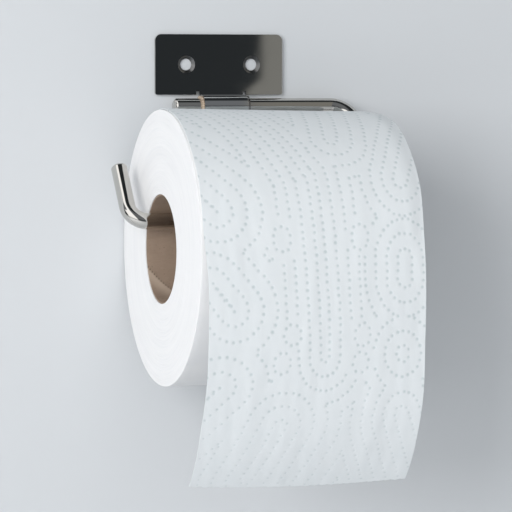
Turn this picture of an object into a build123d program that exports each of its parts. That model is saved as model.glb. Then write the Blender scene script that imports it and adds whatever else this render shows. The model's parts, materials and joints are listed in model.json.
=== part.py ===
from build123d import *
import os
from math import asin, cos, degrees, pi, radians, sin, sqrt, tan

# Wall-mounted toilet paper holder: a folded wall plate, a bent rod that swings in
# the plate's rolled knuckle, and a roll of paper that hangs on the rod.
# Frame: origin midway between the screw holes on the wall, +X along the rod
# towards its bend, +Y into the wall, +Z up. Millimetres.

# ---- wall plate -------------------------------------------------------------
plate_width = 58.5
plate_height = 26.5
sheet_thickness = 1.5
top_corner_radius = 2.8
bottom_corner_radius = 0.8
hole_spacing = 30.0
hole_radius = 2.6
countersink_depth = 1.1
countersink_half_angle = 50.0
knuckle_length = 20.0
knuckle_centre_x = 0.9
knuckle_mouth_angle = 60.0
relief_width = 1.5
relief_depth = 1.5

# ---- swinging rod -----------------------------------------------------------
rod_radius = 3.5
rod_running_clearance = 0.05
rod_end_chamfer = 1.2
hinge_stub = 11.8
arm_length = 61.5
shoulder_radius = 10.0
tip_bend_radius = 8.0
tip_height = 29.25

# ---- retaining rings --------------------------------------------------------
ring_thickness = 1.0
ring_wall = 1.6
groove_depth = 0.5
ring_side_clearance = 0.1
ring_seat_clearance = 0.02
ring_mouth = 4.6

# ---- roll -------------------------------------------------------------------
roll_width = 96.0
roll_radius = 57.5
roll_centre_x = 4.5
roll_to_wall = 0.3
roll_to_tip = 5.5
roll_to_shoulder = 4.0
core_bore_radius = 22.5
core_ply = 0.6
rod_seat_angle = 37.0
rod_seat_clearance = 0.15

# ---- loose end of the paper -------------------------------------------------
paper_thickness = 0.5
paper_gap = 0.3
paper_side_shift = 1.2
sheet_length = 122.8
leave_angle = 20.6
hang_depth = 28.0
curl_radius = 103.3

# ---- places worked out from the sizes above ---------------------------------
knuckle_bore = rod_radius + rod_running_clearance
knuckle_radius = knuckle_bore + sheet_thickness
hinge_y = -knuckle_radius
hinge_z = -plate_height / 2 - knuckle_radius
knuckle_left = knuckle_centre_x - knuckle_length / 2
knuckle_right = knuckle_centre_x + knuckle_length / 2

roll_left = roll_centre_x - roll_width / 2
roll_right = roll_centre_x + roll_width / 2
roll_y = -(roll_radius + roll_to_wall)

shoulder_x = roll_right + roll_to_shoulder + rod_radius
tip_x = roll_left - roll_to_tip - rod_radius
bend_in_bore = max(0, shoulder_radius - (shoulder_x - roll_right))
inner_bend_radius = shoulder_radius - rod_radius
bend_rise = inner_bend_radius - sqrt(inner_bend_radius**2 - bend_in_bore**2)

seat_offset = core_bore_radius - rod_radius - rod_seat_clearance - bend_rise
leg_y = roll_y + seat_offset * cos(radians(rod_seat_angle))
arm_tilt = degrees(asin((hinge_y - leg_y) / arm_length))
leg_z = hinge_z - arm_length * cos(radians(arm_tilt))
roll_z = leg_z - seat_offset * sin(radians(rod_seat_angle))

stub_end_x = knuckle_left - ring_side_clearance - ring_thickness - hinge_stub

core_outer_radius = core_bore_radius + 2 * core_ply
wound_radius = roll_radius - paper_thickness - paper_gap
loose_radius = roll_radius - paper_thickness / 2

arm_plane = Plane(
    origin=(0, hinge_y, hinge_z),
    x_dir=(1, 0, 0),
    z_dir=(0, cos(radians(arm_tilt)), -sin(radians(arm_tilt))),
)


def slab(profile, x_from, x_to):
    """A profile drawn in the YZ plane, carried along X."""
    return Pos(x_from, 0, 0) * extrude(Plane.YZ * profile, x_to - x_from)


def wall_plate():
    """Flat plate with two countersunk holes and a tongue rolled into a knuckle."""
    outline = Rectangle(plate_width, plate_height)
    outline = fillet(outline.vertices().sort_by(Axis.Y)[2:], top_corner_radius)
    outline = fillet(outline.vertices().sort_by(Axis.Y)[:2], bottom_corner_radius)
    relief = Rectangle(relief_width, 2 * relief_depth)
    for side in (-1, 1):
        x = knuckle_centre_x + side * (knuckle_length + relief_width) / 2
        outline -= Pos(x, -plate_height / 2) * relief
    plate = extrude(Plane.XZ * outline, sheet_thickness)

    tongue = Pos(-sheet_thickness / 2, hinge_z / 2) * Rectangle(sheet_thickness, -hinge_z)
    curl = Circle(knuckle_radius) - Circle(knuckle_bore)
    far = 2 * knuckle_radius
    mouth_edge = (far * cos(radians(knuckle_mouth_angle)), far * sin(radians(knuckle_mouth_angle)))
    curl -= make_face(Polyline((0, 0), (far, 0), (far, mouth_edge[1]), mouth_edge, (0, 0)))
    knuckle = Pos(hinge_y, hinge_z) * curl
    plate += slab(tongue + knuckle, knuckle_left, knuckle_right)

    sink_radius = hole_radius + countersink_depth * tan(radians(countersink_half_angle))
    hole = Cylinder(hole_radius, 3 * sheet_thickness)
    sink = Pos(0, 0, sheet_thickness - countersink_depth / 2) * Cone(
        hole_radius, sink_radius, countersink_depth
    )
    for side in (-1, 1):
        plate -= Plane.XZ * Pos(side * hole_spacing / 2, 0, 0) * (hole + sink)
    return plate


def groove_places():
    """Where each ring's near face stands along the hinge axis, left then right."""
    left = knuckle_left - ring_side_clearance - ring_thickness
    right = knuckle_right + ring_side_clearance
    return {"left": left, "right": right}


def swing_arm():
    """One round rod: hinge leg, shoulder, roll leg and upturned tip in one plane."""
    route = FilletPolyline(
        (stub_end_x, 0, 0),
        (shoulder_x, 0, 0),
        (shoulder_x, arm_length, 0),
        (tip_x, arm_length, 0),
        (tip_x, arm_length - tip_height, 0),
        radius=[shoulder_radius, shoulder_radius, tip_bend_radius],
    )
    section = Plane(origin=route @ 0, z_dir=route % 0) * Circle(rod_radius)
    rod = sweep(section, path=route)
    ends = rod.faces().filter_by(GeomType.PLANE).edges()
    rod = chamfer(ends, rod_end_chamfer)
    for x in groove_places().values():
        groove = Cylinder(rod_radius + 1, ring_thickness) - Cylinder(
            rod_radius - groove_depth, ring_thickness
        )
        rod -= Plane.YZ * Pos(0, 0, x + ring_thickness / 2) * groove
    return arm_plane * rod


def retaining_ring(x):
    """Open snap ring in the rod's groove, its mouth turned to the wall."""
    inner = rod_radius - groove_depth + ring_seat_clearance
    mouth = Pos(inner + ring_wall, 0) * Rectangle(2 * (inner + ring_wall), ring_mouth)
    profile = Circle(inner + ring_wall) - Circle(inner) - mouth
    return slab(Pos(hinge_y, hinge_z) * profile, x, x + ring_thickness)


def tube(inner, outer):
    """A plain tube as wide as the roll, on the roll's axis."""
    profile = Circle(outer) - Circle(inner)
    return slab(Pos(roll_y, roll_z) * profile, roll_left, roll_right)


def paper_strip(path):
    """A strip of paper whose middle follows the path, a little to one side of the roll."""
    strip = sweep(Plane(origin=path @ 0, x_dir=(1, 0, 0), z_dir=path % 0)
                  * Rectangle(roll_width, paper_thickness), path=path)
    return Pos(roll_centre_x + paper_side_shift, roll_y, roll_z) * strip


def at_angle(radius, angle):
    """Point in the roll's own frame, the angle measured from the front, upwards."""
    return (0, -radius * cos(radians(angle)), radius * sin(radians(angle)))


def top_sheet():
    """The last sheet but one: it lies over the top of the roll."""
    span = degrees(sheet_length / loose_radius)
    last = leave_angle + span
    path = ThreePointArc(
        at_angle(loose_radius, last),
        at_angle(loose_radius, (last + leave_angle) / 2),
        at_angle(loose_radius, leave_angle),
    )
    return paper_strip(path)


def hanging_sheet():
    """The last sheet: it leaves the roll, turns down and curls back to the wall."""
    start = at_angle(loose_radius, leave_angle)
    steep = radians(leave_angle)
    fall = start[2] + hang_depth
    ease_radius = fall / sin(steep)
    low = (0, start[1] - ease_radius * (1 - cos(steep)), -hang_depth)
    half = steep / 2
    ease_middle = (
        0,
        low[1] + ease_radius * (1 - cos(half)),
        low[2] + ease_radius * sin(half),
    )
    curl = (sheet_length - ease_radius * steep) / curl_radius
    curl_points = [
        (0, low[1] + curl_radius * (1 - cos(a)), low[2] - curl_radius * sin(a))
        for a in (curl / 2, curl)
    ]
    ease = ThreePointArc(start, ease_middle, low)
    tail = ThreePointArc(low, *curl_points)
    return paper_strip(Wire([ease, tail]))


def report_places():
    """Print the axes and the rod's cut length, for whoever fits or makes it."""
    print(f"arm tilt {arm_tilt:.3f} degrees from vertical")
    print(f"hinge axis   y {hinge_y:.3f} z {hinge_z:.3f}")
    print(f"roll leg     y {leg_y:.3f} z {leg_z:.3f}")
    print(f"roll axis    y {roll_y:.3f} z {roll_z:.3f}")
    print(f"rod          x {tip_x:.2f} to {shoulder_x:.2f}, stub end {stub_end_x:.2f}")
    bends = (2 * shoulder_radius + tip_bend_radius) * (2 - pi / 2)
    legs = (shoulder_x - stub_end_x) + arm_length + (shoulder_x - tip_x) + tip_height
    print(f"rod length   {legs - bends:.1f}")
    reach = sqrt((roll_y - hinge_y) ** 2 + (roll_z - hinge_z) ** 2)
    print(f"roll to knuckle at rest {reach - roll_radius - knuckle_radius:.2f}")


os.makedirs("parts", exist_ok=True)
rings = groove_places()
pieces = {
    "wall_plate": wall_plate(),
    "swing_arm": swing_arm(),
    "retaining_ring_left": retaining_ring(rings["left"]),
    "retaining_ring_right": retaining_ring(rings["right"]),
    "core_inner_ply": tube(core_bore_radius, core_bore_radius + core_ply),
    "core_outer_ply": tube(core_bore_radius + core_ply, core_outer_radius),
    "wound_paper": tube(core_outer_radius, wound_radius),
    "top_sheet": top_sheet(),
    "hanging_sheet": hanging_sheet(),
}
for name, piece in pieces.items():
    export_step(piece, f"parts/{name}.step")
report_places()
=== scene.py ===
import json
import math
from collections import namedtuple

import bmesh
import bpy
import numpy as np
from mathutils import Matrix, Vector


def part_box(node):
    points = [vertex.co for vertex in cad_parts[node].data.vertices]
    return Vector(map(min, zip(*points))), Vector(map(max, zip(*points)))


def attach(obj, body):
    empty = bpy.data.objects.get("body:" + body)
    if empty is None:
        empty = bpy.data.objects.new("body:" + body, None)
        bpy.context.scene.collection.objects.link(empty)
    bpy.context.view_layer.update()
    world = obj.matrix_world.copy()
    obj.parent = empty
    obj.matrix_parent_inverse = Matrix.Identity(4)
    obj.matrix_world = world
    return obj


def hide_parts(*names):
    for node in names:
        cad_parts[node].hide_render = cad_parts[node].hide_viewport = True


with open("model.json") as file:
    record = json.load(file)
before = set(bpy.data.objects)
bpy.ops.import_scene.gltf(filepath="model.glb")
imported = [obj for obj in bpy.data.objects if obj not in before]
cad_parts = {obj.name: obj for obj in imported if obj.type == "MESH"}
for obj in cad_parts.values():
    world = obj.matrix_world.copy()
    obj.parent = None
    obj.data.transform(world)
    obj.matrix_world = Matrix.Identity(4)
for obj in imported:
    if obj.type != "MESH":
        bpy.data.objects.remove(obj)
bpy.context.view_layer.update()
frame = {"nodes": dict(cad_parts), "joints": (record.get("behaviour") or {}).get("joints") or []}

# A wall-mounted toilet paper holder: polished plate, bent rod, rings, and a paper roll
# whose printed outer sheet hangs free. Metres, +X along the rod, +Y into the wall, +Z up.

MM = 0.001
MICRON = 0.001 * MM
JOINT = {j["name"]: j for j in frame["joints"]}


# ---- places taken from the frame ---------------------------------------------
wound_low, wound_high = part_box("wound_paper")
roll_y = (wound_low.y + wound_high.y) / 2
roll_z = (wound_low.z + wound_high.z) / 2
roll_left, roll_right = wound_low.x, wound_high.x
roll_middle = (roll_left + roll_right) / 2
wound_radius = (wound_high.y - wound_low.y) / 2
core_low, core_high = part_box("core_inner_ply")
core_bore = 22.5 * MM
core_ply = (core_high.z - core_low.z) / 2 - core_bore
sheet_low, sheet_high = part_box("hanging_sheet")
sheet_left, sheet_right = sheet_low.x, sheet_high.x
sheet_width = sheet_right - sheet_left
arm_low, arm_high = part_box("swing_arm")
hinge_at = Vector(JOINT["arm_swing"]["pos_m"]) * Vector((0, 1, 1))
leg_at = Vector(JOINT["roll_hang"]["pos_m"]) * Vector((0, 1, 1))

# ---- loose paper: the same path as the model's strips -------------------------
paper_gap = 0.3 * MM
paper_space = 0.5 * MM
sheet_length = 122.8 * MM
leave_angle = math.radians(20.6)
hang_depth = 28.0 * MM
curl_radius = 103.3 * MM
loose_radius = wound_radius + paper_gap + paper_space / 2
paper_thickness = 0.34 * MM


# ---- small helpers --------------------------------------------------------------
crease_angle = math.radians(50)


def smooth(x, low, high):
    """0 below low, 1 above high, and the cubic 3t^2 - 2t^3 between them."""
    t = np.clip((x - low) / (high - low), 0, 1)
    return t * t * (3 - 2 * t)


def waves(x, y, seed, lengths, count):
    """Sum of sine waves in random directions, wavelengths near lengths = (along x, along y)."""
    rng = np.random.default_rng(seed)
    total = np.zeros(np.broadcast(x, y).shape)
    for _ in range(count):
        scale = rng.uniform(0.7, 1.5, 2)
        phase = rng.uniform(0, 2 * np.pi)
        sign = rng.choice((-1, 1))
        turns = x * scale[0] / lengths[0] + sign * y * scale[1] / lengths[1]
        total += np.sin(2 * np.pi * turns + phase)
    return total / math.sqrt(count)


def length_along(path):
    """Length walked along a path of points at each point, starting from 0."""
    return np.concatenate([[0], np.cumsum(np.linalg.norm(np.diff(path, axis=0), axis=1))])


def add_values(mesh, name, values):
    """One number for each point of the mesh, for its material to read by this name."""
    layer = mesh.attributes.new(name, "FLOAT", "POINT")
    layer.data.foreach_set("value", values.astype(np.float32).ravel())


def mesh_object(name, points, faces, uv=None, attributes=None):
    """A smooth-shaded object from an (n, 3) array of points and an (m, 4) array of corners."""
    mesh = bpy.data.meshes.new(name)
    mesh.vertices.add(len(points))
    mesh.vertices.foreach_set("co", np.ascontiguousarray(points, dtype=np.float32).ravel())
    mesh.loops.add(faces.size)
    mesh.loops.foreach_set("vertex_index", np.ascontiguousarray(faces, dtype=np.int32).ravel())
    mesh.polygons.add(len(faces))
    mesh.polygons.foreach_set("loop_start", np.arange(0, faces.size, 4, dtype=np.int32))
    mesh.update(calc_edges=True)
    if uv is not None:
        layer = mesh.uv_layers.new(name="paper")
        layer.data.foreach_set("uv", uv[faces.ravel()].astype(np.float32).ravel())
    for key, values in (attributes or {}).items():
        add_values(mesh, key, values)
    mesh.shade_smooth()
    mesh.set_sharp_from_angle(angle=crease_angle)
    mesh.validate()
    obj = bpy.data.objects.new(name, mesh)
    bpy.context.scene.collection.objects.link(obj)
    return obj


def grid_faces(rows, columns, wrap_rows=False, wrap_columns=False):
    """Corners of the quads of a grid whose points are stored row by row."""
    r = np.arange(rows if wrap_rows else rows - 1)
    c = np.arange(columns if wrap_columns else columns - 1)
    r, c = (a.ravel() for a in np.meshgrid(r, c, indexing="ij"))
    r2, c2 = (r + 1) % rows, (c + 1) % columns
    return np.stack([r * columns + c, r2 * columns + c, r2 * columns + c2, r * columns + c2], axis=1)


def turned_over(faces):
    """The same quads facing the other way."""
    return faces[:, ::-1]


# ---- node helpers ---------------------------------------------------------------
def feed(tree, socket, value):
    """Give an input socket a number, a colour or another node's output."""
    if isinstance(value, bpy.types.NodeSocket):
        tree.links.new(value, socket)
    else:
        socket.default_value = value


def add(tree, kind, inputs=None, **settings):
    """One node with its settings, and what feeds its inputs."""
    node = tree.nodes.new(kind)
    for key, value in settings.items():
        setattr(node, key, value)
    for key, value in (inputs or {}).items():
        feed(tree, node.inputs[key], value)
    return node


def maths(tree, operation, *values):
    """Output of a Math node."""
    return add(tree, "ShaderNodeMath", dict(enumerate(values)), operation=operation).outputs[0]


def ramp(tree, value, low, high, to_low=0.0, to_high=1.0):
    """Value carried smoothly from low..high to to_low..to_high."""
    inputs = {"Value": value, "From Min": low, "From Max": high, "To Min": to_low, "To Max": to_high}
    return add(tree, "ShaderNodeMapRange", inputs, interpolation_type="SMOOTHSTEP").outputs["Result"]


def mixed(tree, factor, first, second):
    """Colour mixed from first to second by the factor; inputs 6 and 7 and output 2 are colours."""
    inputs = {0: factor, 6: first, 7: second}
    return add(tree, "ShaderNodeMix", inputs, data_type="RGBA").outputs[2]


def noise(tree, vector, scale, detail, roughness=0.5):
    """Grey noise; scale is in cells per metre where the vector is a place in metres."""
    inputs = {"Vector": vector, "Scale": scale, "Detail": detail, "Roughness": roughness}
    return add(tree, "ShaderNodeTexNoise", inputs).outputs["Fac"]


def placed(tree, vector, scale=(1, 1, 1), location=(0, 0, 0), rotation=(0, 0, 0)):
    """Vector moved, turned and stretched."""
    inputs = {"Vector": vector, "Location": location, "Rotation": rotation, "Scale": scale}
    return add(tree, "ShaderNodeMapping", inputs).outputs["Vector"]


def object_place(tree):
    """Each point's place on the object, in metres."""
    return add(tree, "ShaderNodeTexCoord").outputs["Object"]


def point_value(tree, name):
    """The number that the mesh holds for each point under this name."""
    return add(tree, "ShaderNodeAttribute", attribute_name=name).outputs["Fac"]


def new_material(name, base, **constants):
    """A material with its Principled shader, and the tree that feeds it."""
    material = bpy.data.materials.new(name)
    material.use_nodes = True
    tree = material.node_tree
    shader = tree.nodes["Principled BSDF"]
    shader.inputs["Base Color"].default_value = (*base, 1)
    for key, value in constants.items():
        shader.inputs[key.replace("_", " ")].default_value = value
    return material, tree, shader


def bumped(tree, shader, height, distance):
    """Height fed to the shader's normal, distance being the height of 1, in metres."""
    bump = add(tree, "ShaderNodeBump", {"Height": height, "Distance": distance, "Strength": 1.0})
    tree.links.new(bump.outputs["Normal"], shader.inputs["Normal"])


def new_group(name, inputs, outputs):
    """An empty shader node group with named float or colour sockets."""
    tree = bpy.data.node_groups.new(name, "ShaderNodeTree")
    for label, kind in inputs.items():
        tree.interface.new_socket(name=label, in_out="INPUT", socket_type=kind)
    for label, kind in outputs.items():
        tree.interface.new_socket(name=label, in_out="OUTPUT", socket_type=kind)
    return tree, tree.nodes.new("NodeGroupInput"), tree.nodes.new("NodeGroupOutput")


# ---- camera -----------------------------------------------------------------------
def make_camera():
    """A long lens, a little to the left of the holder and level with its plate."""
    data = bpy.data.cameras.new("camera")
    data.lens = 220.98
    data.sensor_width = 36.0
    data.clip_end = 50.0
    camera = bpy.data.objects.new("camera", data)
    camera.location = (-0.4160, -1.32095, -0.00717)
    turn_right = math.radians(18.17)
    look_down = math.radians(3.19)
    camera.rotation_euler = (math.pi / 2 - look_down, 0, -turn_right)
    bpy.context.scene.collection.objects.link(camera)
    bpy.context.scene.camera = camera


make_camera()


# ---- shared effects -------------------------------------------------------------
def make_fibre_group():
    """Soft tangle of tissue fibres: a mask of cloudy density and a fine height."""
    tree, given, made = new_group(
        "tissue_fibres",
        {"Vector": "NodeSocketVector"},
        {"Density": "NodeSocketFloat", "Height": "NodeSocketFloat"},
    )
    vector = given.outputs["Vector"]
    clouds = noise(tree, vector, 160, 4, 0.6)
    crepe = noise(tree, placed(tree, vector, scale=(1, 2.6, 2.6)), 900, 3, 0.6)
    strands = noise(tree, placed(tree, vector, scale=(3.5, 1, 1), rotation=(0, 0, 0.4)), 1400, 2, 0.7)
    strand_height = maths(tree, "MULTIPLY", strands, 0.4)
    fine = maths(tree, "MULTIPLY_ADD", crepe, 0.6, strand_height)
    tree.links.new(clouds, made.inputs["Density"])
    tree.links.new(fine, made.inputs["Height"])
    return tree


def make_handling_group():
    """Marks that handling leaves on polished steel: a mask of smudges and one of hairlines."""
    tree, given, made = new_group(
        "handling_marks",
        {"Vector": "NodeSocketVector", "Hairline scale": "NodeSocketFloat"},
        {"Smudge": "NodeSocketFloat", "Hairlines": "NodeSocketFloat"},
    )
    vector = given.outputs["Vector"]
    smudge = ramp(tree, noise(tree, vector, 90, 4, 0.6), 0.45, 0.75)
    lines = []
    for turn, shift in ((0.3, 0.0), (-0.5, 3.7), (1.2, 9.1)):
        long_way = placed(
            tree, vector, scale=(0.04, 1, 1), location=(shift, shift, 0), rotation=(0, turn, turn)
        )
        streaks = noise(tree, long_way, given.outputs["Hairline scale"], detail=1.0)
        lines.append(ramp(tree, streaks, 0.68, 0.74))
    hairlines = maths(tree, "MAXIMUM", maths(tree, "MAXIMUM", lines[0], lines[1]), lines[2])
    tree.links.new(smudge, made.inputs["Smudge"])
    tree.links.new(hairlines, made.inputs["Hairlines"])
    return tree


fibres = make_fibre_group()
handling = make_handling_group()


# ---- materials --------------------------------------------------------------------
def polished_steel(name, tint, rough, smudged, scratched, metallic=1.0):
    """Mirror-polished stainless steel, hazed and darkened a little where it has been touched.

    scratched is the hairlines' share of the roughness and, in micrometres, their depth.
    """
    material, tree, shader = new_material(name, tint, Metallic=metallic)
    marks = add(tree, "ShaderNodeGroup", node_tree=handling)
    tree.links.new(object_place(tree), marks.inputs["Vector"])
    marks.inputs["Hairline scale"].default_value = 2600
    haze = maths(tree, "MULTIPLY", marks.outputs["Smudge"], smudged)
    scratch = maths(tree, "MULTIPLY", marks.outputs["Hairlines"], scratched)
    roughness = maths(tree, "ADD", maths(tree, "ADD", haze, scratch), rough)
    tree.links.new(roughness, shader.inputs["Roughness"])
    touched = tuple(0.86 * c for c in tint)
    colour = mixed(tree, haze, (*tint, 1), (*touched, 1))
    tree.links.new(colour, shader.inputs["Base Color"])
    bumped(tree, shader, marks.outputs["Hairlines"], -scratched * MICRON)
    return material


def core_board():
    """Grey-brown spiral-wound board: long fibres, dark flecks and soft mottling."""
    material, tree, shader = new_material("core_board", (0.26, 0.19, 0.145), Roughness=0.9)
    place = object_place(tree)
    mottle = noise(tree, place, 120, 5, 0.65)
    grain = noise(tree, placed(tree, place, scale=(0.25, 1, 1)), 1500, 3, 0.6)
    flecks = ramp(tree, noise(tree, place, 900, 2, 0.5), 0.66, 0.72)
    tone = mixed(tree, mottle, (0.20, 0.14, 0.10, 1), (0.38, 0.28, 0.21, 1))
    tone = mixed(tree, maths(tree, "MULTIPLY", grain, 0.5), tone, (0.42, 0.33, 0.26, 1))
    tone = mixed(tree, maths(tree, "MULTIPLY", flecks, 0.35), tone, (0.12, 0.085, 0.06, 1))
    seam = point_value(tree, "seam_distance")
    # The paler band below the seam is painted highlight, not a tone of the board.
    seam_highlight = point_value(tree, "seam_painted_highlight")
    tone = mixed(tree, maths(tree, "MULTIPLY", seam_highlight, 0.6), tone, (0.62, 0.50, 0.40, 1))
    tone = mixed(tree, ramp(tree, seam, 0.1, 0.75, 0.75, 0), tone, (0.06, 0.042, 0.03, 1))
    tree.links.new(tone, shader.inputs["Base Color"])
    bumped(tree, shader, grain, 60 * MICRON)
    return material


def wound_tissue():
    """Sides and rims of the wound roll: hundreds of white plies seen edge on.

    The noise is read along the radius, and only very slowly round the roll.
    """
    material, tree, shader = new_material("wound_tissue", (0.86, 0.87, 0.88), Roughness=0.92)
    place = object_place(tree)
    centred = placed(tree, place, location=(0, -roll_y, -roll_z))
    across = placed(tree, centred, scale=(0, 1, 1))
    radius = add(tree, "ShaderNodeVectorMath", {0: across}, operation="LENGTH").outputs["Value"]
    radial = add(tree, "ShaderNodeCombineXYZ", {"X": radius}).outputs[0]
    slow = placed(tree, centred, scale=(0, 0.02, 0.02))
    ring = add(tree, "ShaderNodeVectorMath", {0: radial, 1: slow}, operation="ADD").outputs[0]
    plies = noise(tree, ring, 1900, 2, 0.6)
    bands = noise(tree, ring, 260, 3, 0.55)
    soft = add(tree, "ShaderNodeGroup", node_tree=fibres)
    tree.links.new(place, soft.inputs["Vector"])
    tone = mixed(tree, bands, (0.775, 0.77, 0.775, 1), (0.85, 0.845, 0.842, 1))
    # Darker lines between the plies are painted shade in the gaps between them.
    ply_gap_painted_shade = maths(tree, "MULTIPLY", ramp(tree, plies, 0.35, 0.5, 1, 0), 0.25)
    tone = mixed(tree, ply_gap_painted_shade, tone, (0.70, 0.71, 0.73, 1))
    tree.links.new(tone, shader.inputs["Base Color"])
    height = maths(tree, "ADD", plies, maths(tree, "MULTIPLY", soft.outputs["Height"], 0.6))
    bumped(tree, shader, height, 120 * MICRON)
    return material


def printed_tissue():
    """Two-ply tissue with rows of small blue-green dots pressed into it."""
    material, tree, shader = new_material("printed_tissue", (0.8, 0.82, 0.83), Roughness=0.9)
    soft = add(tree, "ShaderNodeGroup", node_tree=fibres)
    tree.links.new(object_place(tree), soft.inputs["Vector"])
    distance = point_value(tree, "dot_distance")
    uneven = maths(tree, "MULTIPLY_ADD", soft.outputs["Density"], 0.6, distance)
    print_mask = ramp(tree, uneven, 0.45, 1.35, 1, 0)
    paper = mixed(tree, soft.outputs["Density"], (0.70, 0.735, 0.75, 1), (0.745, 0.768, 0.782, 1))
    ink = mixed(tree, maths(tree, "MULTIPLY", print_mask, 0.78), paper, (0.485, 0.545, 0.558, 1))
    tree.links.new(ink, shader.inputs["Base Color"])
    pressed = ramp(tree, distance, 0.2, 1.4)
    height = maths(tree, "ADD", pressed, maths(tree, "MULTIPLY", soft.outputs["Height"], 0.5))
    bumped(tree, shader, height, 40 * MICRON)
    return material


plate_steel = polished_steel(
    "plate_steel", (0.62, 0.62, 0.61), rough=0.02, smudged=0.012, scratched=0.004
)
# Darker, rougher copy of the plate's steel for the countersinks and relief notches: its dark tint is
# painted shade.
shaded_countersink_steel = polished_steel(
    "shaded_countersink_steel", (0.20, 0.20, 0.20), rough=0.33, smudged=0.10, scratched=0.10
)
rod_steel = polished_steel(
    "rod_steel", (0.59, 0.575, 0.545), rough=0.05, smudged=0.03, scratched=0.03
)
# The two retaining rings are one part in two copies: the left one lighter and warmer as painted highlight
# and reflection, the right one dark as painted shade.
ring_steel = polished_steel(
    "ring_steel", (0.90, 0.71, 0.54), rough=0.25, smudged=0.10, scratched=0.10, metallic=0.6
)
shaded_ring_steel = polished_steel(
    "shaded_ring_steel", (0.30, 0.29, 0.28), rough=0.20, smudged=0.10, scratched=0.10
)
board = core_board()
roll_tissue = wound_tissue()
sheet_tissue = printed_tissue()


def finish_with(obj, material):
    """Give the whole object one material."""
    obj.data.materials.clear()
    obj.data.materials.append(material)


# ---- printed sheet ------------------------------------------------------------------
def sheet_path(s):
    """Middle of the loose paper at the length s below the line where it leaves the roll.

    Above that line it follows the roll (a circle of loose_radius). Below it, an arc eases the
    slope to upright at hang_depth under the roll's axis, and an arc of curl_radius bends it
    back to the wall. Returns y, z and the slope, the angle of the outward normal above -Y.
    """
    fall = loose_radius * math.sin(leave_angle) + hang_depth
    ease_radius = fall / math.sin(leave_angle)
    ease_length = ease_radius * leave_angle
    leave_y = -loose_radius * math.cos(leave_angle)
    low_y = leave_y - ease_radius * (1 - math.cos(leave_angle))
    on_roll = leave_angle - s / loose_radius
    easing = leave_angle - s / ease_radius
    curling = -(s - ease_length) / curl_radius
    slope = np.where(s < 0, on_roll, np.where(s < ease_length, easing, curling))
    y = np.where(
        s < 0,
        -loose_radius * np.cos(on_roll),
        np.where(
            s < ease_length,
            low_y + ease_radius * (1 - np.cos(easing)),
            low_y + curl_radius * (1 - np.cos(curling)),
        ),
    )
    z = np.where(
        s < 0,
        loose_radius * np.sin(on_roll),
        np.where(
            s < ease_length,
            -hang_depth + ease_radius * np.sin(easing),
            -hang_depth + curl_radius * np.sin(curling),
        ),
    )
    return roll_y + y, roll_z + z, slope


# A print family is rows of dots nested round a short line. In millimetres on the sheet: across from
# the sheet's left edge and down from where the sheet leaves the roll to the line's start, the way
# the line points (turn, in degrees, 0 across, 90 down), its length, how far off its first row
# stands, the pitch of the rows, how much narrower the rows are across than down, and their number.
PrintFamily = namedtuple("PrintFamily", "across down turn length first pitch squash rows")
print_families = [PrintFamily(*sizes) for sizes in (
    (6.3, 2.6, -135, 70.0, 0.2, 6.3, 1.00, 9), (10.7, 43.0, -130, 14.0, 0.2, 6.2, 1.00, 9),
    (5.2, 74.0, 130, 60.0, 0.2, 6.2, 1.15, 9), (33.0, 13.0, 90, 3.0, 3.8, 5.9, 0.95, 1),
    (36.2, 53.3, 90, 0.3, 4.1, 5.9, 0.95, 1), (31.9, 64.6, 90, 1.0, 3.9, 5.9, 0.95, 1),
    (67.1, 12.3, 90, 3.2, 3.6, 5.9, 0.95, 1), (67.6, 53.0, 90, 2.6, 3.5, 5.9, 0.95, 1),
    (67.1, 64.9, 90, 1.6, 3.6, 5.9, 0.95, 1), (50.9, 62.5, -92.5, 76.0, 2.6, 6.1, 0.80, 9),
    (86.8, 22.8, 90, 8.5, 4.0, 6.1, 0.80, 9), (86.0, 62.7, 90, 0.1, 3.5, 6.1, 0.85, 9),
    (87.3, 89.0, 62, 50.0, 3.8, 6.1, 0.80, 9), (87.3, -10.7, -62, 50.0, 3.8, 6.1, 0.80, 9),
    (47.3, -14.0, -112, 60.0, 2.1, 4.9, 1.00, 9), (34.0, 92.0, 110, 30.0, 2.6, 6.0, 1.00, 9),
    (67.0, -60.0, 100, 28.0, 3.0, 6.0, 1.00, 9), (88.0, -92.0, 90, 0.1, 3.5, 6.1, 0.85, 9),
    (52.0, -108.0, -90, 10.0, 2.6, 6.0, 1.00, 9),
)]
dot_pitch = 3.05
dot_scatter = 0.12
row_tie = 0.05
printed_across = (-2, 98)
printed_down = (-130, 126)
row_reach = 4.0
far_from_dots = 3.0


def family_way(family):
    """Unit vector along a family's line, as (across, down)."""
    turn = math.radians(family.turn)
    return np.array((math.cos(turn), math.sin(turn)))


def row_number(points, family):
    """Which row of a family each point lies on, in row pitches, and endless past its last row."""
    way = family_way(family)
    off = (points - (family.across, family.down)) / (family.squash, 1)
    along = np.clip(off @ way, 0, family.length)
    distance = np.linalg.norm(off - along[:, None] * way, axis=1)
    number = (distance - family.first) / family.pitch
    return np.where(number < family.rows - 0.5, number, np.inf)


def row_of_dots(family, row):
    """Dots along one closed row of two straight sides and two half circles, then squashed."""
    way = family_way(family)
    side = np.array((-way[1], way[0]))
    reach = family.first + row * family.pitch
    half = np.linspace(0, math.pi, 200)
    angle = np.concatenate([half, half + math.pi])
    along = np.concatenate([np.full(len(half), family.length), np.zeros(len(half))])
    round_end = np.cos(angle)[:, None] * side + np.sin(angle)[:, None] * way
    path = along[:, None] * way + reach * round_end
    path = np.concatenate([path, path[:1]])
    walked = length_along(path)
    count = max(1, round(walked[-1] / dot_pitch))
    at = np.arange(count) * walked[-1] / count
    dots = np.stack([np.interp(at, walked, path[:, k]) for k in (0, 1)], axis=1)
    return (family.across, family.down) + dots * (family.squash, 1)


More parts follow.
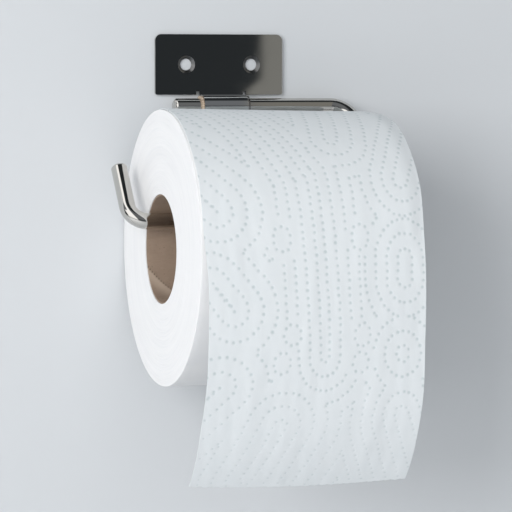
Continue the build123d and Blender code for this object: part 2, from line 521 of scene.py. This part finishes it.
def print_dots():
    """Centres of the pressed dots: each family's rows, kept where no other family is nearer."""
    kept = []
    for family in print_families:
        rivals = [other for other in print_families if other is not family]
        for row in range(family.rows):
            points = row_of_dots(family, row)
            nearest = np.min([row_number(points, other) for other in rivals], axis=0)
            kept.append(points[nearest > row_number(points, family) - row_tie])
    dots = np.concatenate(kept)
    rng = np.random.default_rng(8)
    dots += rng.normal(0, dot_scatter, dots.shape)
    low, high = np.array([printed_across, printed_down]).T
    return dots[np.all((dots > low) & (dots < high), axis=1)]


def distance_to_dots(across, down):
    """Millimetres from each place on the sheet to the nearest dot's centre, up to a limit."""
    dots = print_dots()
    distance = np.full(across.shape, far_from_dots)
    for row in range(across.shape[0]):
        near = dots[np.abs(dots[:, 1] - down[row].mean()) < row_reach]
        if len(near):
            gap = np.hypot(across[row][:, None] - near[:, 0], down[row][:, None] - near[:, 1])
            distance[row] = gap.min(axis=1)
    return np.minimum(distance, far_from_dots)


def sheet_lift(u, s):
    """How far the paper stands off its path: soft upright ripples and a twist where it hangs.

    The ripples lie flatter on the roll. The twist brings the left edge forward and the right
    one back. On the roll the paper follows its flare and its slipped turns.
    """
    across = u / sheet_width
    freedom = 0.25 + 0.75 * smooth(s, -50 * MM, 25 * MM)
    ripple = 0.08 * MM * waves(u, s, 11, (15 * MM, 190 * MM), 6)
    small = 0.03 * MM * waves(u, s, 12, (6 * MM, 40 * MM), 6)
    slack = smooth(s, 0, 45 * MM) * (1 - smooth(s, 55 * MM, 95 * MM))
    twist = 2.4 * MM * (1 - 2 * across) * slack
    slipped = end_drop(sheet_left + u) * (1 - smooth(s, 0, 30 * MM))
    up = np.sin(leave_angle - s / loose_radius)
    swollen = flare(sheet_left + u, up) * (1 - smooth(s, 0, 20 * MM))
    return freedom * (ripple + small) + twist + swollen - slipped


def end_drop(x):
    """How far the outer turns have slipped towards the core near the roll's right end."""
    return 1.2 * MM * smooth(x, roll_right - 9 * MM, roll_right + 2 * MM) ** 2


def flare(x, up):
    """How much larger the roll is towards its left end, most of all on top (up is 1 there)."""
    return 1.6 * MM * (1 - smooth(x, roll_left - 20 * MM, roll_right)) * (0.45 + 0.55 * np.maximum(up, 0))


sheet_columns = 193
sheet_rows = 246
tear_pitch = 1.5 * MM
tear_depth = 0.14 * MM
tear_bow = 2.1 * MM
tear_slope = 0.4 * MM
dimple_depth = 0.045 * MM


def torn_edge(u):
    """How much lower than straight the torn edge is at u: bowed, tilted, toothed and uneven."""
    teeth = tear_depth * np.abs(((u / tear_pitch) % 1) - 0.5) * 2
    uneven = 0.16 * MM * waves(u, u * 0, 5, (5 * MM, 1), 6)
    return tear_bow * np.sin(u / sheet_width * math.pi) + tear_slope * u / sheet_width + teeth + uneven


def paper_sheet(name, top, bottom, torn=False):
    """A closed strip of tissue between two lengths along the path.

    Point (i, j) is the path at s(j), moved across by u(i), and off the path along its normal
    by the lift less the dots' dimples. The inner side is the same grid one thickness in.
    Low down the print grows faint, so the dots are given as farther away there.
    """
    rows, columns = sheet_rows, sheet_columns
    u = np.linspace(0, sheet_width, columns)[None, :]
    s = np.linspace(top, bottom, rows)[:, None]
    u, s = (np.broadcast_to(a, (rows, columns)).copy() for a in (u, s))
    if torn:
        s = s + torn_edge(u) * smooth(s, bottom - 16 * MM, bottom)
    dots = distance_to_dots(u / MM, s / MM)
    y, z, slope = sheet_path(s)
    dimple = dimple_depth * (1 - smooth(dots, 0.2, 1.3))
    faint = 0.28 * smooth(s, 74 * MM, 96 * MM)
    tucked = (paper_gap + 0.1 * MM) * (1 - smooth(s, -sheet_length, -sheet_length + 40 * MM))
    lift = sheet_lift(u, s) - dimple - tucked + paper_space / 2
    side_sway = 0.25 * MM * waves(s, u * 0, 21, (45 * MM, 1), 4)
    drawn_in = 1.3 * MM * smooth(u / sheet_width, 0.2, 1) * smooth(s, -10 * MM, 35 * MM)
    x = sheet_left + u + side_sway * smooth(np.abs(u / sheet_width - 0.5), 0.3, 0.5) - drawn_in
    out_y, out_z = -np.cos(slope), np.sin(slope)
    layers = [
        np.stack([x, y + depth * out_y, z + depth * out_z], axis=-1).reshape(-1, 3)
        for depth in (lift, lift - paper_thickness)
    ]
    outer = grid_faces(rows, columns)
    count = rows * columns
    index = np.arange(count).reshape(rows, columns)
    rims = []
    for edge in (index[0], index[:, -1], index[-1, ::-1], index[::-1, 0]):
        rims.append(np.stack([edge[:-1], edge[1:], edge[1:] + count, edge[:-1] + count], axis=1))
    faces = np.concatenate([outer, turned_over(outer) + count] + rims)
    uv = np.stack([u, -s], axis=-1).reshape(-1, 2)
    obj = mesh_object(
        name,
        np.concatenate(layers),
        faces,
        uv=np.concatenate([uv, uv]),
        attributes={"dot_distance": np.concatenate([(dots + faint).ravel()] * 2)},
    )
    finish_with(obj, sheet_tissue)
    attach(obj, "sheet")
    return obj


front_sheet = paper_sheet("front_sheet", 0.0, sheet_length, torn=True)
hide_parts("hanging_sheet")
over_sheet = paper_sheet("over_sheet", -sheet_length, 0.0)
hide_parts("top_sheet")


# ---- wound roll -------------------------------------------------------------------
def ring_about_roll(name, x, r, around, shape):
    """A closed section (x, r) turned about the roll's axis; shape(x, r, angle) moves its points."""
    angle = np.linspace(0, 2 * math.pi, around, endpoint=False)[:, None]
    x, r = (np.broadcast_to(a, (around, len(x))).copy() for a in (x, r))
    x, r = shape(x, r, angle)
    points = np.stack([x, roll_y + r * np.cos(angle), roll_z + r * np.sin(angle)], axis=-1)
    faces = grid_faces(around, x.shape[1], wrap_rows=True, wrap_columns=True)
    return mesh_object(name, points.reshape(-1, 3), faces)


def wound_roll():
    """The roll as a closed ring: two sides, two rims and the bore, turned about X.

    Each side stands shy by a sum of slow waves in radius and angle, as plies shift when the
    roll is wound. The rim's radius has a slow wave too, grows towards the left end and drops
    at the right one. The paper at each side laps over part of the core's cut edge.
    """
    inner = core_bore + 2 * core_ply
    lip = core_bore + 0.55 * MM
    outer = wound_radius + 0.35 * MM
    rim = 0.5 * MM
    side = np.linspace(lip, outer - rim, 104)
    bend = np.linspace(0, math.pi / 2, 5)[1:]
    left = [np.full_like(side, roll_left), side]
    left_rim = [roll_left + rim * (1 - np.cos(bend)), outer - rim + rim * np.sin(bend)]
    flat = np.linspace(roll_left + rim, roll_right - rim, 48)[1:]
    top = [flat, np.full_like(flat, outer)]
    right_rim = [roll_right - rim * (1 - np.sin(bend)), outer - rim + rim * np.cos(bend)]
    right = [np.full_like(side, roll_right), side[::-1]]
    lap = 0.4 * MM
    bore = np.linspace(roll_right - lap, roll_left + lap, 8)
    bore = np.concatenate([bore[:1], bore, bore[-1:]])
    inside = [bore, np.concatenate([[lip], np.full(len(bore) - 2, inner), [lip]])]
    x, r = (np.concatenate(parts) for parts in zip(left, left_rim, top, right_rim, right, inside))
    half = (roll_right - roll_left) / 2

    def shape(x, r, angle):
        on_side = smooth(np.abs(x - roll_middle), half - 0.3 * MM, half)
        turns = r + 0.3 * MM * angle / (2 * math.pi)
        ply = waves(turns, np.sin(angle) * MM, 31, (3.4 * MM, 9 * MM), 7)
        fine = waves(turns, np.cos(angle) * MM, 32, (1.1 * MM, 14 * MM), 7)
        shift = (0.06 * MM * ply + 0.03 * MM * fine) * smooth(r, lip, lip + 2 * MM)
        shift = np.abs(shift) * 0.6 + 0.2 * MM * smooth(r, outer - 4 * MM, outer)
        x = x - np.sign(x - roll_middle) * shift * on_side
        sway = 0.06 * MM * waves(np.sin(angle) * MM, np.cos(angle) * MM, 33, (1.3 * MM, 1.1 * MM), 4)
        return x, r + (sway - end_drop(x) + flare(x, np.sin(angle))) * smooth(r, inner + 6 * MM, outer)

    obj = ring_about_roll("wound_roll", x, r, 360, shape)
    finish_with(obj, roll_tissue)
    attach(obj, "roll")
    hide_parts("wound_paper")


wound_roll()


# ---- spiral-wound core --------------------------------------------------------------
core_short = 0.5 * MM
seam_lead = 98 * MM
seam_turn = -0.36
far_from_seam = 9.0


def seam_phase(x, angle):
    """Turns past the seam of a board strip that is wound as a helix, from -0.5 to 0.5."""
    turns = (x - roll_left) / seam_lead + (angle - seam_turn) / (2 * math.pi)
    return turns - np.round(turns)


def core_tube(name, inner, node, columns, around, seam_step):
    """One ply of the core: a closed tube whose bore steps at the helical seam of its strip.

    Below the seam, a paler band some 12 mm wide along the strip's raised edge is painted
    highlight. The distance from the seam in millimetres and that painted highlight are kept for the
    material.
    """
    long_way = np.linspace(roll_left + core_short, roll_right - core_short, columns)
    x = np.concatenate([long_way, long_way[::-1]])
    r = np.concatenate([np.full(columns, inner), np.full(columns, inner + core_ply)])
    seam_marks = {}

    def shape(x, r, angle):
        off_seam = seam_phase(x, angle) * 2 * math.pi * core_bore
        step = smooth(off_seam, -0.5 * MM, 0) * (1 - smooth(off_seam, 0, 9 * MM))
        # Paler band below the seam: painted highlight along the strip's raised edge.
        painted_highlight = smooth(off_seam, -14 * MM, -1 * MM) * (1 - smooth(off_seam, -0.9 * MM, -0.2 * MM))
        seam_marks["seam_distance"] = np.minimum(np.abs(off_seam) / MM, far_from_seam)
        seam_marks["seam_painted_highlight"] = painted_highlight
        on_bore = r < inner + core_ply / 2
        fuzz = 0.02 * MM * waves(x, angle * core_bore, 41, (3 * MM, 2 * MM), 6)
        return x, r + np.where(on_bore, seam_step * step + fuzz, 0)

    obj = ring_about_roll(name, x, r, around, shape)
    for key, values in seam_marks.items():
        add_values(obj.data, key, values)
    finish_with(obj, board)
    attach(obj, "roll")
    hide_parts(node)


core_tube("core_lining", core_bore, "core_inner_ply", 120, 240, 0.14 * MM)
core_tube("core_backing", core_bore + core_ply, "core_outer_ply", 24, 160, 0)


# ---- bent rod -------------------------------------------------------------------------
rod_step = 0.5 * MM
bend_steps = 28
rod_sides = 72
rod_radius = 3.5 * MM
end_chamfer = 1.2 * MM
shoulder_bend = 10 * MM
tip_bend = 8 * MM
tip_height = 29.25 * MM
hinge_stub = 11.8 * MM
groove_depth = 0.5 * MM


def rod_route():
    """Points along the rod's middle in its own plane, and the unit normals, as (across, down).

    The corners are the rod's two ends and the three turning points between its legs. Each turn
    is rounded by an arc tangent to both legs, so the route is straight runs and arcs. The runs
    are sampled about one rod_step apart, and each arc in bend_steps.
    """
    ring_low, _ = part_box("retaining_ring_left")
    shoulder_x = arm_high.x - rod_radius
    tip_x = arm_low.x + rod_radius
    drop = (leg_at - hinge_at).length
    corners = np.array([(ring_low.x - hinge_stub, 0), (shoulder_x, 0), (shoulder_x, drop),
                        (tip_x, drop), (tip_x, drop - tip_height)])
    bends = (shoulder_bend, shoulder_bend, tip_bend)
    points, normals = [], []
    start = corners[0]
    for corner, before, after, bend in zip(corners[1:-1], corners, corners[2:], bends):
        into = (corner - before) / np.linalg.norm(corner - before)
        out = (after - corner) / np.linalg.norm(after - corner)
        enter, leave = corner - into * bend, corner + out * bend
        count = max(2, round(np.linalg.norm(enter - start) / rod_step))
        run = start + np.linspace(0, 1, count, endpoint=False)[:, None] * (enter - start)
        points.append(run)
        normals.append(np.broadcast_to(out, run.shape))
        sweep = np.linspace(0, math.pi / 2, bend_steps, endpoint=False)[:, None]
        centre = enter + out * bend
        points.append(centre + bend * (np.sin(sweep) * into - np.cos(sweep) * out))
        normals.append(np.cos(sweep) * out - np.sin(sweep) * into)
        start = leave
    count = round(np.linalg.norm(corners[-1] - start) / rod_step)
    run = start + np.linspace(0, 1, count)[:, None] * (corners[-1] - start)
    points.append(run)
    normals.append(np.broadcast_to(-into, run.shape))
    return np.concatenate(points), np.concatenate(normals)


def bent_rod():
    """A circle carried along the rod's route, smaller in the ring grooves and at both ends.

    Ring k is centre(k) + radius(k) (cos a normal(k) + sin a across the plane), and each end
    closes to a point on the middle line.
    """
    route, normal = rod_route()
    length = length_along(route)
    end = length[-1]
    end_radius = rod_radius - end_chamfer
    groove_radius = rod_radius - groove_depth
    marks = [np.array([0, 0, end_chamfer, end - end_chamfer, end, end])]
    radii = [np.array([0, end_radius, rod_radius, rod_radius, end_radius, 0])]
    for node in ("retaining_ring_left", "retaining_ring_right"):
        low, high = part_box(node)
        near, far = low.x - route[0, 0], high.x - route[0, 0]
        marks.append(np.array([near, near, far, far]))
        radii.append(np.array([rod_radius, groove_radius, groove_radius, rod_radius]))
    clear_of_end = end_chamfer + 0.2 * MM
    plain = length[(length > clear_of_end) & (length < end - clear_of_end)]
    for groove in marks[1:]:
        plain = plain[(plain < groove[0] - 0.05 * MM) | (plain > groove[-1] + 0.05 * MM)]
    marks.append(plain)
    radii.append(np.full_like(plain, rod_radius))
    at, radius = np.concatenate(marks), np.concatenate(radii)
    order = np.argsort(at, kind="stable")
    at, radius = at[order], radius[order]
    centre = np.stack([np.interp(at, length, route[:, k]) for k in (0, 1)], axis=1)
    side = np.stack([np.interp(at, length, normal[:, k]) for k in (0, 1)], axis=1)
    side /= np.linalg.norm(side, axis=1)[:, None]
    down = (leg_at - hinge_at).normalized()
    along_x = np.array((1.0, 0, 0))
    across = np.cross(along_x, down)
    middle = np.array(hinge_at) + centre[:, :1] * along_x + centre[:, 1:] * down
    facing = side[:, :1] * along_x + side[:, 1:] * down
    angle = np.linspace(0, 2 * math.pi, rod_sides, endpoint=False)[None, :, None]
    ring = np.cos(angle) * facing[:, None] + np.sin(angle) * across
    points = (middle[:, None] + radius[:, None, None] * ring).reshape(-1, 3)
    obj = mesh_object("bent_rod", points, grid_faces(len(at), rod_sides, wrap_columns=True))
    weld(obj)
    finish_with(obj, rod_steel)
    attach(obj, "arm")
    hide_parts("swing_arm")


def weld(obj):
    """Join points that lie on each other, drop faces without area and face every face outwards."""
    same_place = 0.2 * MICRON
    shell = bmesh.new()
    shell.from_mesh(obj.data)
    bmesh.ops.remove_doubles(shell, verts=shell.verts, dist=same_place)
    bmesh.ops.dissolve_degenerate(shell, dist=same_place, edges=shell.edges)
    bmesh.ops.recalc_face_normals(shell, faces=shell.faces)
    shell.to_mesh(obj.data)
    shell.free()


bent_rod()


# ---- plate with eased edges -----------------------------------------------------------
hole_half_spacing = 15 * MM
hole_reach = 5 * MM
knuckle_middle = 0.9 * MM
relief_from_middle = 10.75 * MM
relief_half_width = 0.75 * MM
relief_top = -11.75 * MM
relief_low = -15 * MM
relief_margin = 0.05 * MM
in_plane = math.radians(0.5)
sharp_edge = math.radians(35)
edge_easing = 0.3 * MM
shading_break = math.radians(13)
flat_area = 4 * MM * MM


def near_hole(place):
    """True near the middle of either screw hole, seen from the front."""
    return math.hypot(abs(place.x) - hole_half_spacing, place.z) < hole_reach


def in_relief(place):
    """True in either small notch that frees the knuckle from the plate's lower edge."""
    off = abs(abs(place.x - knuckle_middle) - relief_from_middle)
    beside = off < relief_half_width + relief_margin
    return beside and relief_low < place.z < relief_top + relief_margin


def is_slanted(normal):
    """True unless the normal lies along an axis, within about a degree."""
    return max(abs(c) for c in normal) < 0.9999


def eased_plate():
    """The plate's own shape with its sharp edges rounded a little, as polishing leaves them.

    The holes' countersinks and the two relief notches stay sharp and take a rougher, much darker copy of
    the steel, whose dark tint is painted shade.
    """
    source = frame["nodes"]["wall_plate"]
    mesh = source.data.copy()
    mesh.materials.clear()
    mesh.materials.append(plate_steel)
    mesh.materials.append(shaded_countersink_steel)
    if "custom_normal" in mesh.attributes:
        mesh.attributes.remove(mesh.attributes["custom_normal"])
    obj = bpy.data.objects.new("polished_plate", mesh)
    bpy.context.scene.collection.objects.link(obj)
    shell = bmesh.new()
    shell.from_mesh(mesh)
    bmesh.ops.remove_doubles(shell, verts=shell.verts, dist=MICRON)
    bmesh.ops.dissolve_limit(shell, angle_limit=in_plane, verts=shell.verts, edges=shell.edges)
    bmesh.ops.recalc_face_normals(shell, faces=shell.faces)
    sharp = [
        edge for edge in shell.edges
        if edge.is_manifold and edge.calc_face_angle() > sharp_edge
        and not near_hole(edge.verts[0].co)
        and not all(in_relief(corner.co) for corner in edge.verts)
    ]
    bmesh.ops.bevel(shell, geom=sharp, offset=edge_easing, offset_type="OFFSET", segments=3,
                    profile=0.5, affect="EDGES", clamp_overlap=True)
    shell.normal_update()
    for face in shell.faces:
        # Countersinks and relief notches take the darker copy of the steel, painted shade.
        middle = face.calc_center_median()
        in_countersink = near_hole(middle) and is_slanted(face.normal)
        face.material_index = int(in_countersink or in_relief(middle))
    shell.to_mesh(mesh)
    shell.free()
    mesh.set_sharp_from_angle(angle=shading_break)
    rounded = [is_slanted(face.normal) or face.area <= flat_area for face in mesh.polygons]
    mesh.polygons.foreach_set("use_smooth", rounded)
    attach(obj, "bracket")
    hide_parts("wall_plate")


eased_plate()


# ---- CAD parts that keep their shape ----------------------------------------------
# Left ring: lighter, warmer tint as painted highlight and reflection; right ring: dark tint as painted
# shade in the gap beside the knuckle.
finish_with(frame["nodes"]["retaining_ring_left"], ring_steel)
finish_with(frame["nodes"]["retaining_ring_right"], shaded_ring_steel)


# ---- studio -----------------------------------------------------------------------
holder_middle = Vector((0, -0.05, -0.06))
behind_wall_face = 0.4 * MM
floor_level = -0.6


def stage_material(name, colour):
    """Plain matt paint, see-through from behind, so the holder's back and underside can be seen."""
    material, tree, shader = new_material(name, colour, Roughness=0.9)
    clear = add(tree, "ShaderNodeBsdfTransparent")
    behind = add(tree, "ShaderNodeNewGeometry").outputs["Backfacing"]
    mix = add(tree, "ShaderNodeMixShader", {0: behind, 1: shader.outputs[0], 2: clear.outputs[0]})
    tree.links.new(mix.outputs[0], tree.nodes["Material Output"].inputs["Surface"])
    return material


def stage_plane(name, centre, right, up, half_width, half_height, material):
    """A flat rectangle whose front side is right x up."""
    centre = Vector(centre)
    to_right, to_top = half_width * Vector(right), half_height * Vector(up)
    corners = [centre + a * to_right + b * to_top for a, b in ((-1, -1), (1, -1), (1, 1), (-1, 1))]
    mesh = bpy.data.meshes.new(name)
    mesh.from_pydata([tuple(c) for c in corners], [], [(0, 1, 2, 3)])
    mesh.materials.append(material)
    obj = bpy.data.objects.new(name, mesh)
    bpy.context.scene.collection.objects.link(obj)


def area_light(name, place, size, power):
    """A square soft light at place that faces the holder; steel doesn't mirror it."""
    data = bpy.data.lights.new(name, "AREA")
    data.size = size
    data.energy = power
    light = bpy.data.objects.new(name, data)
    light.location = place
    light.visible_glossy = False
    light.rotation_euler = (holder_middle - light.location).to_track_quat("-Z", "Y").to_euler()
    bpy.context.scene.collection.objects.link(light)


def direction_parts(tree):
    """The x and z parts of the direction that a ray leaves the scene in, each from -1 to 1."""
    direction = add(tree, "ShaderNodeTexCoord").outputs["Generated"]
    split = add(tree, "ShaderNodeSeparateXYZ", {"Vector": direction})
    return split.outputs["X"], split.outputs["Z"]


def room_seen_in_steel(tree):
    """What polished steel mirrors: a dark room, a bright window to the left, a pale right side.

    The window is narrower above and ends low down. The room is less dark above and below the
    level. The pale side begins a little further left just off the level, grows bright further
    right, and the ceiling over it is dark.
    """
    dark_tone = (0.030, 0.034, 0.037, 1)
    off_level_tone = (0.195, 0.205, 0.220, 1)
    pale_tone = (0.27, 0.265, 0.245, 1)
    bright_tone = (0.80, 0.77, 0.69, 1)
    window_light = (1.5, 1.5, 1.5, 1)
    x, z = direction_parts(tree)
    steepness = maths(tree, "ABSOLUTE", z)
    narrowed = maths(tree, "ADD", x, ramp(tree, z, 0.30, 0.60, 0, -0.23))
    left_edge = ramp(tree, narrowed, -0.955, -0.915)
    right_edge = ramp(tree, x, -0.44, -0.38, 1, 0)
    low_edge = ramp(tree, z, -0.75, -0.60)
    window = maths(tree, "MULTIPLY", maths(tree, "MULTIPLY", left_edge, right_edge), low_edge)
    corner = ramp(tree, z, -0.0040, 0.0016, -0.0046, 0)
    widening = ramp(tree, steepness, 0.02, 0.04, 0, 0.0040)
    to_right = maths(tree, "ADD", maths(tree, "SUBTRACT", x, corner), widening)
    below_ceiling = ramp(tree, z, 0.77, 0.85, 1, 0)
    off_level = maths(tree, "MULTIPLY", ramp(tree, steepness, 0.03, 0.16), below_ceiling)
    pale = maths(tree, "MULTIPLY", ramp(tree, to_right, 0.3118, 0.3152), below_ceiling)
    bright = maths(tree, "MULTIPLY", ramp(tree, to_right, 0.335, 0.58), below_ceiling)
    seen = mixed(tree, off_level, dark_tone, off_level_tone)
    seen = mixed(tree, pale, seen, pale_tone)
    seen = mixed(tree, bright, seen, bright_tone)
    return mixed(tree, window, seen, window_light)


def fill_light(tree):
    """Soft light from all round, stronger from the right."""
    x, _ = direction_parts(tree)
    return mixed(tree, ramp(tree, x, -1, 1), (0.29, 0.305, 0.32, 1), (0.50, 0.52, 0.54, 1))


def make_studio():
    """Pale wall and floor, a large soft light on the left, weak ones in front and low down.

    Rays that steel mirrors see the room instead of the soft light from all round.
    """
    wall_paint = stage_material("wall_paint", (0.625, 0.643, 0.660))
    floor_paint = stage_material("floor_paint", (0.80, 0.81, 0.82))
    stage_plane("wall", (0, behind_wall_face, 0), (1, 0, 0), (0, 0, 1), 2.0, -floor_level, wall_paint)
    stage_plane("floor", (0, -1.0, floor_level), (1, 0, 0), (0, 1, 0), 4.0, 4.0, floor_paint)
    area_light("key", (-1.6, -1.55, 0.45), size=1.2, power=33)
    area_light("front", (-0.4, -2.5, 0.5), size=1.6, power=7.5)
    area_light("low_fill", (-0.9, -1.1, -0.5), size=0.8, power=2.2)
    world = bpy.data.worlds.new("studio")
    bpy.context.scene.world = world
    world.use_nodes = True
    tree = world.node_tree
    background = tree.nodes["Background"]
    glossy = add(tree, "ShaderNodeLightPath").outputs["Is Glossy Ray"]
    colour = mixed(tree, glossy, fill_light(tree), room_seen_in_steel(tree))
    tree.links.new(colour, background.inputs["Color"])
    bpy.context.scene.view_settings.view_transform = "Standard"


make_studio()
